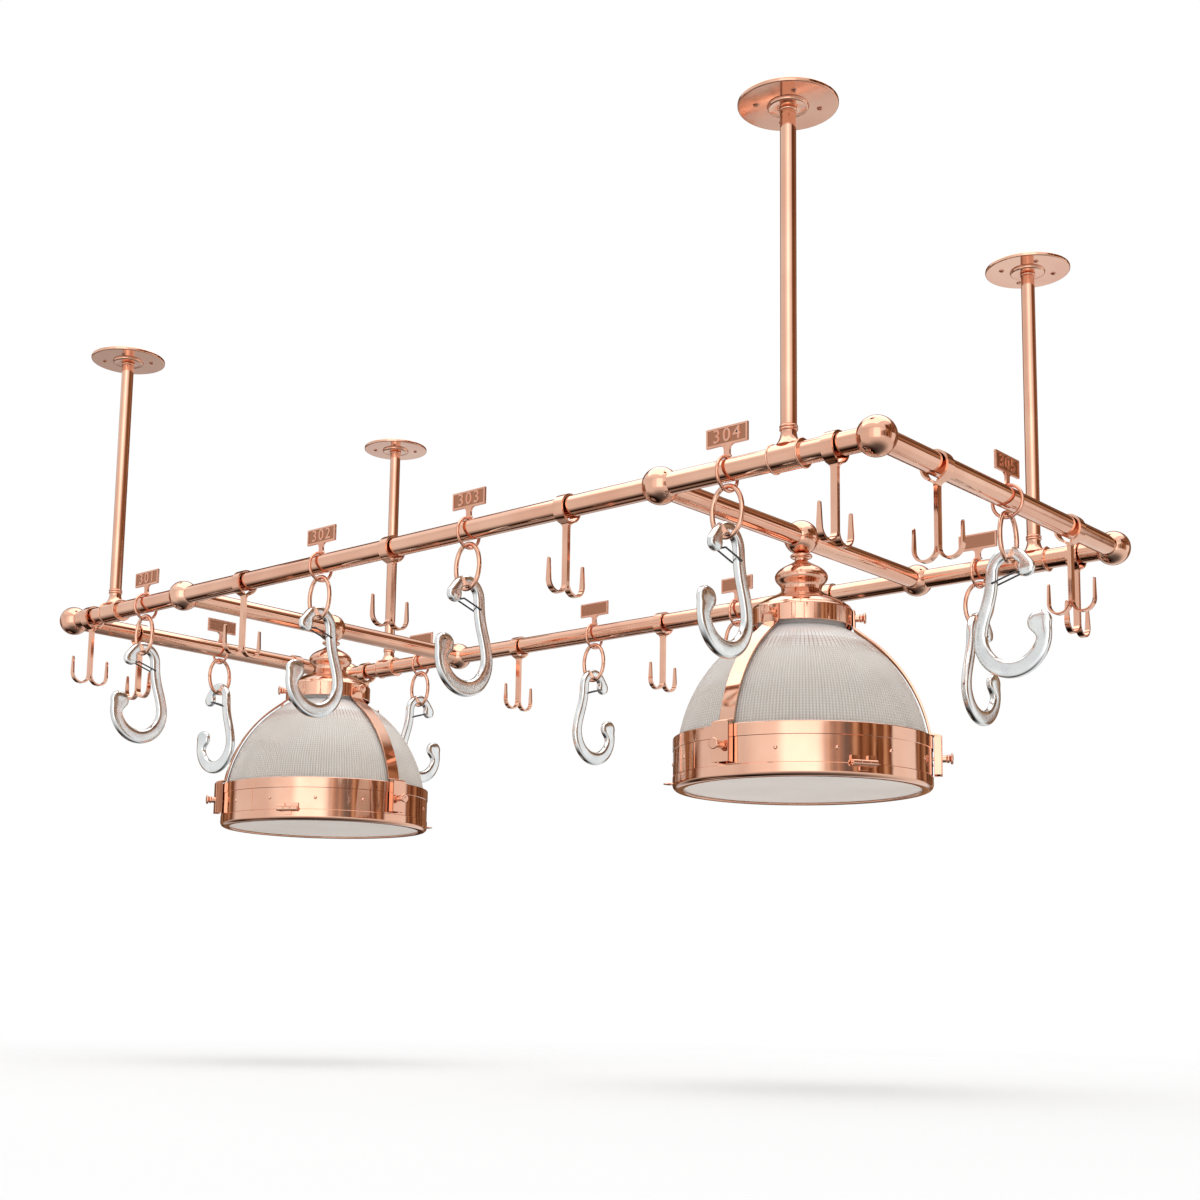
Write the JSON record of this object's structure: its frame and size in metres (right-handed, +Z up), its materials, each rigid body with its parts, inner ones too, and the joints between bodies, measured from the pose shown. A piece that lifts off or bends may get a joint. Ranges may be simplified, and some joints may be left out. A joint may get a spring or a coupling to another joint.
{
  "type": "hanging pot rack",
  "caption": "Ceiling-hung rectangular tube pot rack with glass dome lamps, double hooks and numbered ring hooks with spring gates.",
  "frame": {"origin": "on the ceiling, midway between the four ceiling plates", "axes": "+Z up, +X along the long rails towards the right lamp, -Y towards the front rail with rings 1 to 4"},
  "size_m": [1.936, 0.838, 0.897],
  "materials": {
    "copper": "polished copper plate with soft streaks",
    "steel": "polished forged steel",
    "dome_glass": "clear prismatic glass",
    "bulb_glass": "opal glass",
    "lens_glass": "frosted glass"
  },
  "bodies": {
    "frame": {"long_tubes": "copper", "short_tubes": "copper", "ball_fittings": "copper", "ceiling_plates": "copper", "drop_rods": "copper", "rod_saddles": "copper", "lamp_caps": "copper", "glass_domes": "dome_glass", "lamp_straps": "copper", "thumb_screws": "copper", "lamp_bands": "copper", "bulbs": "bulb_glass"},
    "front_hooks": {"front_double_hooks": "copper"},
    "back_hooks": {"back_double_hooks": "copper"},
    "left_hooks": {"left_double_hooks": "copper"},
    "right_hooks": {"right_double_hooks": "copper"},
    "left_door": {"left_lamp_door": "copper", "left_lamp_lens": "lens_glass"},
    "right_door": {"right_lamp_door": "copper", "right_lamp_lens": "lens_glass"},
    "ring_1": {"ring_holder_1": "copper"},
    "link_1_body": {"link_1": "copper"},
    "hook_1": {"pot_hook_1": "steel"},
    "gate_1": {"hook_gate_1": "steel"},
    "ring_2": {"ring_holder_2": "copper"},
    "link_2_body": {"link_2": "copper"},
    "hook_2": {"pot_hook_2": "steel"},
    "gate_2": {"hook_gate_2": "steel"},
    "ring_3": {"ring_holder_3": "copper"},
    "link_3_body": {"link_3": "copper"},
    "hook_3": {"pot_hook_3": "steel"},
    "gate_3": {"hook_gate_3": "steel"},
    "ring_4": {"ring_holder_4": "copper"},
    "link_4_body": {"link_4": "copper"},
    "hook_4": {"pot_hook_4": "steel"},
    "gate_4": {"hook_gate_4": "steel"},
    "ring_5": {"ring_holder_5": "copper"},
    "link_5_body": {"link_5": "copper"},
    "hook_5": {"pot_hook_5": "steel"},
    "gate_5": {"hook_gate_5": "steel"},
    "ring_6": {"ring_holder_6": "copper"},
    "link_6_body": {"link_6": "copper"},
    "hook_6": {"pot_hook_6": "steel"},
    "gate_6": {"hook_gate_6": "steel"},
    "ring_7": {"ring_holder_7": "copper"},
    "link_7_body": {"link_7": "copper"},
    "hook_7": {"pot_hook_7": "steel"},
    "gate_7": {"hook_gate_7": "steel"},
    "ring_8": {"ring_holder_8": "copper"},
    "link_8_body": {"link_8": "copper"},
    "hook_8": {"pot_hook_8": "steel"},
    "gate_8": {"hook_gate_8": "steel"},
    "ring_9": {"ring_holder_9": "copper"},
    "link_9_body": {"link_9": "copper"},
    "hook_9": {"pot_hook_9": "steel"},
    "gate_9": {"hook_gate_9": "steel"},
    "ring_10": {"ring_holder_10": "copper"},
    "link_10_body": {"link_10": "copper"},
    "hook_10": {"pot_hook_10": "steel"},
    "gate_10": {"hook_gate_10": "steel"}
  },
  "joints": [
    {"name": "front_hooks_swing", "type": "hinge", "parent": "frame", "child": "front_hooks", "pos_m": [0, -0.35, -0.5], "axis": [1, 0, 0], "range_deg": [-15, 15]},
    {"name": "back_hooks_swing", "type": "hinge", "parent": "frame", "child": "back_hooks", "pos_m": [0, 0.35, -0.5], "axis": [1, 0, 0], "range_deg": [-15, 15]},
    {"name": "left_hooks_swing", "type": "hinge", "parent": "frame", "child": "left_hooks", "pos_m": [-0.905, 0, -0.5], "axis": [0, 1, 0], "range_deg": [-15, 15]},
    {"name": "right_hooks_swing", "type": "hinge", "parent": "frame", "child": "right_hooks", "pos_m": [0.905, 0, -0.5], "axis": [0, 1, 0], "range_deg": [-15, 15]},
    {"name": "left_door_hinge", "type": "hinge", "parent": "frame", "child": "left_door", "pos_m": [-0.45195, -0.17502, -0.8775], "axis": [-0.866, -0.5, 0], "range_deg": [0, 90]},
    {"name": "right_door_hinge", "type": "hinge", "parent": "frame", "child": "right_door", "pos_m": [0.72802, -0.10105, -0.8775], "axis": [-0.5, -0.866, 0], "range_deg": [0, 90]},
    {"name": "ring_1_swing", "type": "hinge", "parent": "frame", "child": "ring_1", "pos_m": [-0.669, -0.35, -0.5], "axis": [-1, 0, 0], "range_deg": [-15, 15]},
    {"name": "link_1_swing", "type": "hinge", "parent": "ring_1", "child": "link_1_body", "pos_m": [-0.669, -0.35, -0.5283], "axis": [0, -1, 0], "range_deg": [-25, 25]},
    {"name": "hook_1_swing", "type": "hinge", "parent": "link_1_body", "child": "hook_1", "pos_m": [-0.669, -0.35, -0.593], "axis": [-1, 0, 0], "range_deg": [-35, 35]},
    {"name": "gate_1_hinge", "type": "hinge", "parent": "hook_1", "child": "gate_1", "pos_m": [-0.669, -0.32675, -0.6224], "axis": [-1, 0, 0], "range_deg": [0, 25], "stiffness_Nm_per_rad": 0.02, "springref_deg": -28.65},
    {"name": "ring_2_swing", "type": "hinge", "parent": "frame", "child": "ring_2", "pos_m": [-0.174, -0.35, -0.5], "axis": [-1, 0, 0], "range_deg": [-15, 15]},
    {"name": "link_2_swing", "type": "hinge", "parent": "ring_2", "child": "link_2_body", "pos_m": [-0.174, -0.35, -0.5283], "axis": [0, -1, 0], "range_deg": [-25, 25]},
    {"name": "hook_2_swing", "type": "hinge", "parent": "link_2_body", "child": "hook_2", "pos_m": [-0.174, -0.35, -0.593], "axis": [-1, 0, 0], "range_deg": [-35, 35]},
    {"name": "gate_2_hinge", "type": "hinge", "parent": "hook_2", "child": "gate_2", "pos_m": [-0.174, -0.32675, -0.6224], "axis": [-1, 0, 0], "range_deg": [0, 25], "stiffness_Nm_per_rad": 0.02, "springref_deg": -28.65},
    {"name": "ring_3_swing", "type": "hinge", "parent": "frame", "child": "ring_3", "pos_m": [0.174, -0.35, -0.5], "axis": [-1, 0, 0], "range_deg": [-15, 15]},
    {"name": "link_3_swing", "type": "hinge", "parent": "ring_3", "child": "link_3_body", "pos_m": [0.174, -0.35, -0.5283], "axis": [0, -1, 0], "range_deg": [-25, 25]},
    {"name": "hook_3_swing", "type": "hinge", "parent": "link_3_body", "child": "hook_3", "pos_m": [0.174, -0.35, -0.593], "axis": [-1, 0, 0], "range_deg": [-35, 35]},
    {"name": "gate_3_hinge", "type": "hinge", "parent": "hook_3", "child": "gate_3", "pos_m": [0.174, -0.32675, -0.6224], "axis": [-1, 0, 0], "range_deg": [0, 25], "stiffness_Nm_per_rad": 0.02, "springref_deg": -28.65},
    {"name": "ring_4_swing", "type": "hinge", "parent": "frame", "child": "ring_4", "pos_m": [0.669, -0.35, -0.5], "axis": [-1, 0, 0], "range_deg": [-15, 15]},
    {"name": "link_4_swing", "type": "hinge", "parent": "ring_4", "child": "link_4_body", "pos_m": [0.669, -0.35, -0.5283], "axis": [0, -1, 0], "range_deg": [-25, 25]},
    {"name": "hook_4_swing", "type": "hinge", "parent": "link_4_body", "child": "hook_4", "pos_m": [0.669, -0.35, -0.593], "axis": [-1, 0, 0], "range_deg": [-35, 35]},
    {"name": "gate_4_hinge", "type": "hinge", "parent": "hook_4", "child": "gate_4", "pos_m": [0.669, -0.32675, -0.6224], "axis": [-1, 0, 0], "range_deg": [0, 25], "stiffness_Nm_per_rad": 0.02, "springref_deg": -28.65},
    {"name": "ring_5_swing", "type": "hinge", "parent": "frame", "child": "ring_5", "pos_m": [0.905, 0, -0.5], "axis": [0, -1, 0], "range_deg": [-15, 15]},
    {"name": "link_5_swing", "type": "hinge", "parent": "ring_5", "child": "link_5_body", "pos_m": [0.905, 0, -0.5283], "axis": [1, 0, 0], "range_deg": [-25, 25]},
    {"name": "hook_5_swing", "type": "hinge", "parent": "link_5_body", "child": "hook_5", "pos_m": [0.905, 0, -0.593], "axis": [0, -1, 0], "range_deg": [-35, 35]},
    {"name": "gate_5_hinge", "type": "hinge", "parent": "hook_5", "child": "gate_5", "pos_m": [0.88175, 0, -0.6224], "axis": [0, -1, 0], "range_deg": [0, 25], "stiffness_Nm_per_rad": 0.02, "springref_deg": -28.65},
    {"name": "ring_6_swing", "type": "hinge", "parent": "frame", "child": "ring_6", "pos_m": [0.669, 0.35, -0.5], "axis": [1, 0, 0], "range_deg": [-15, 15]},
    {"name": "link_6_swing", "type": "hinge", "parent": "ring_6", "child": "link_6_body", "pos_m": [0.669, 0.35, -0.5283], "axis": [0, 1, 0], "range_deg": [-25, 25]},
    {"name": "hook_6_swing", "type": "hinge", "parent": "link_6_body", "child": "hook_6", "pos_m": [0.669, 0.35, -0.593], "axis": [1, 0, 0], "range_deg": [-35, 35]},
    {"name": "gate_6_hinge", "type": "hinge", "parent": "hook_6", "child": "gate_6", "pos_m": [0.669, 0.32675, -0.6224], "axis": [1, 0, 0], "range_deg": [0, 25], "stiffness_Nm_per_rad": 0.02, "springref_deg": -28.65},
    {"name": "ring_7_swing", "type": "hinge", "parent": "frame", "child": "ring_7", "pos_m": [0.174, 0.35, -0.5], "axis": [1, 0, 0], "range_deg": [-15, 15]},
    {"name": "link_7_swing", "type": "hinge", "parent": "ring_7", "child": "link_7_body", "pos_m": [0.174, 0.35, -0.5283], "axis": [0, 1, 0], "range_deg": [-25, 25]},
    {"name": "hook_7_swing", "type": "hinge", "parent": "link_7_body", "child": "hook_7", "pos_m": [0.174, 0.35, -0.593], "axis": [1, 0, 0], "range_deg": [-35, 35]},
    {"name": "gate_7_hinge", "type": "hinge", "parent": "hook_7", "child": "gate_7", "pos_m": [0.174, 0.32675, -0.6224], "axis": [1, 0, 0], "range_deg": [0, 25], "stiffness_Nm_per_rad": 0.02, "springref_deg": -28.65},
    {"name": "ring_8_swing", "type": "hinge", "parent": "frame", "child": "ring_8", "pos_m": [-0.174, 0.35, -0.5], "axis": [1, 0, 0], "range_deg": [-15, 15]},
    {"name": "link_8_swing", "type": "hinge", "parent": "ring_8", "child": "link_8_body", "pos_m": [-0.174, 0.35, -0.5283], "axis": [0, 1, 0], "range_deg": [-25, 25]},
    {"name": "hook_8_swing", "type": "hinge", "parent": "link_8_body", "child": "hook_8", "pos_m": [-0.174, 0.35, -0.593], "axis": [1, 0, 0], "range_deg": [-35, 35]},
    {"name": "gate_8_hinge", "type": "hinge", "parent": "hook_8", "child": "gate_8", "pos_m": [-0.174, 0.32675, -0.6224], "axis": [1, 0, 0], "range_deg": [0, 25], "stiffness_Nm_per_rad": 0.02, "springref_deg": -28.65},
    {"name": "ring_9_swing", "type": "hinge", "parent": "frame", "child": "ring_9", "pos_m": [-0.669, 0.35, -0.5], "axis": [1, 0, 0], "range_deg": [-15, 15]},
    {"name": "link_9_swing", "type": "hinge", "parent": "ring_9", "child": "link_9_body", "pos_m": [-0.669, 0.35, -0.5283], "axis": [0, 1, 0], "range_deg": [-25, 25]},
    {"name": "hook_9_swing", "type": "hinge", "parent": "link_9_body", "child": "hook_9", "pos_m": [-0.669, 0.35, -0.593], "axis": [1, 0, 0], "range_deg": [-35, 35]},
    {"name": "gate_9_hinge", "type": "hinge", "parent": "hook_9", "child": "gate_9", "pos_m": [-0.669, 0.32675, -0.6224], "axis": [1, 0, 0], "range_deg": [0, 25], "stiffness_Nm_per_rad": 0.02, "springref_deg": -28.65},
    {"name": "ring_10_swing", "type": "hinge", "parent": "frame", "child": "ring_10", "pos_m": [-0.905, 0, -0.5], "axis": [0, 1, 0], "range_deg": [-15, 15]},
    {"name": "link_10_swing", "type": "hinge", "parent": "ring_10", "child": "link_10_body", "pos_m": [-0.905, 0, -0.5283], "axis": [-1, 0, 0], "range_deg": [-25, 25]},
    {"name": "hook_10_swing", "type": "hinge", "parent": "link_10_body", "child": "hook_10", "pos_m": [-0.905, 0, -0.593], "axis": [0, 1, 0], "range_deg": [-35, 35]},
    {"name": "gate_10_hinge", "type": "hinge", "parent": "hook_10", "child": "gate_10", "pos_m": [-0.88175, 0, -0.6224], "axis": [0, 1, 0], "range_deg": [0, 25], "stiffness_Nm_per_rad": 0.02, "springref_deg": -28.65}
  ]
}
